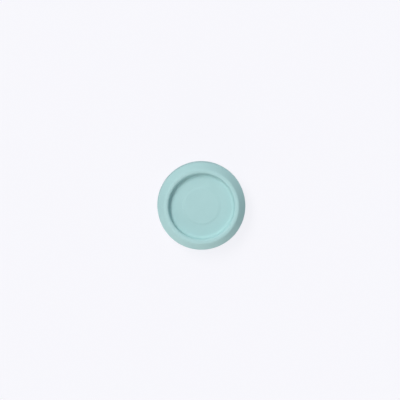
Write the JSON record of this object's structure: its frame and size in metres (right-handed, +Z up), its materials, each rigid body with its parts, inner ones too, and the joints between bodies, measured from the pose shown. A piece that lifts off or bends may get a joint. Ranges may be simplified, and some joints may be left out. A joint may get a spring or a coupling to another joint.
{
  "type": "magnetic soap holder",
  "caption": "Round wall-mounted magnetic soap holder: a shallow rimmed dish over a sealed pot magnet, closed by a snap-in back plate with an adhesive foam pad.",
  "frame": {"origin": "centre of the adhesive pad's wall face, on the plane of the wall", "axes": "+Z up, +Y into the wall, the dish faces -Y, +X to the right of someone who faces the wall"},
  "size_m": [0.046, 0.0144, 0.046],
  "materials": {
    "mint_nylon": "satin moulded recycled nylon",
    "plate_nylon": "satin moulded recycled nylon",
    "pad_foam": "closed-cell adhesive foam",
    "cup_steel": "zinc plated, drawn",
    "magnet_nickel": "nickel plated",
    "potting_resin": "cast resin",
    "seal_rubber": "moulded rubber"
  },
  "bodies": {
    "root": {"dish_body": "mint_nylon", "back_plate": "plate_nylon", "adhesive_pad": "pad_foam", "magnet_cup": "cup_steel", "magnet": "magnet_nickel", "potting_ring": "potting_resin", "seal_ring": "seal_rubber"}
  },
  "joints": []
}
